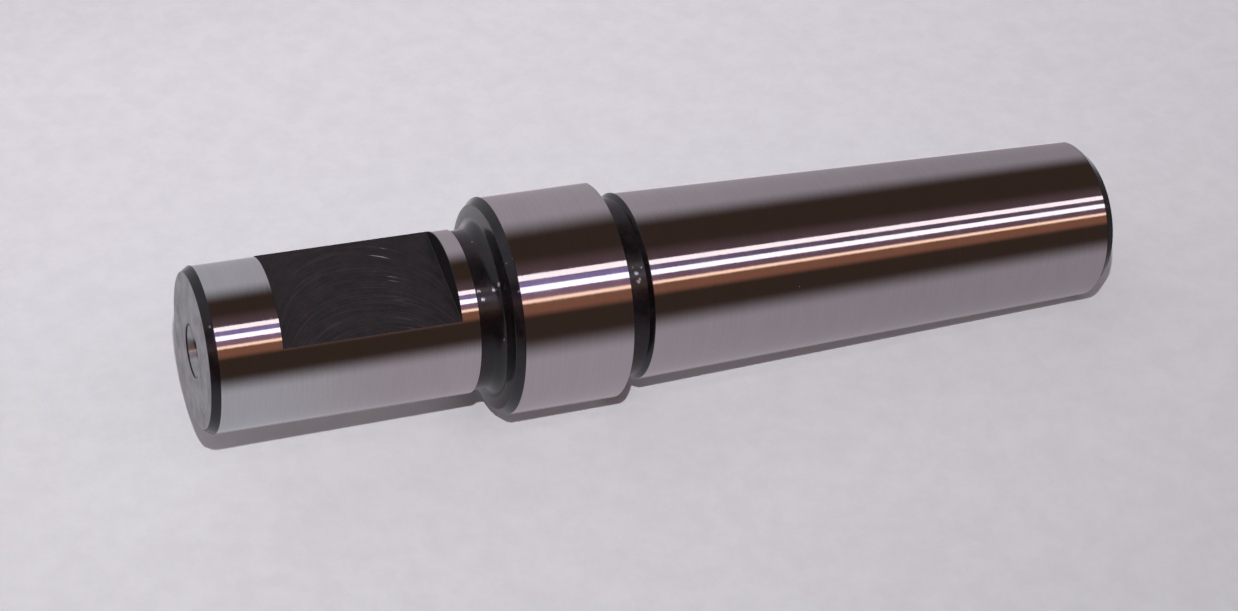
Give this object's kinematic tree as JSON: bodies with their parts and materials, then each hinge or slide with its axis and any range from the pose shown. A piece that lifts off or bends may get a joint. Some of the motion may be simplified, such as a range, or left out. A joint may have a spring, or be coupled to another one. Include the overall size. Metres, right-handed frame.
{
  "type": "taper arbor",
  "caption": "Turned machine arbor: parallel shank with a milled driving flat, a collar, a relief groove and a long locking taper that is tapped for a drawbar.",
  "frame": {"origin": "middle of the shank's end face, the lowest point of the standing arbor", "axes": "+Z along the axis from the shank's end face to the small end of the taper; -Y is the outward normal of the driving flat"},
  "size_m": [0.0274, 0.0274, 0.1208],
  "materials": {
    "steel": "hardened steel: shank, collar and taper ground bright, end face dull grey, and flat, neck, collar face, groove and chamfers left black oxide"
  },
  "bodies": {
    "root": {"arbor": "steel"}
  },
  "joints": []
}
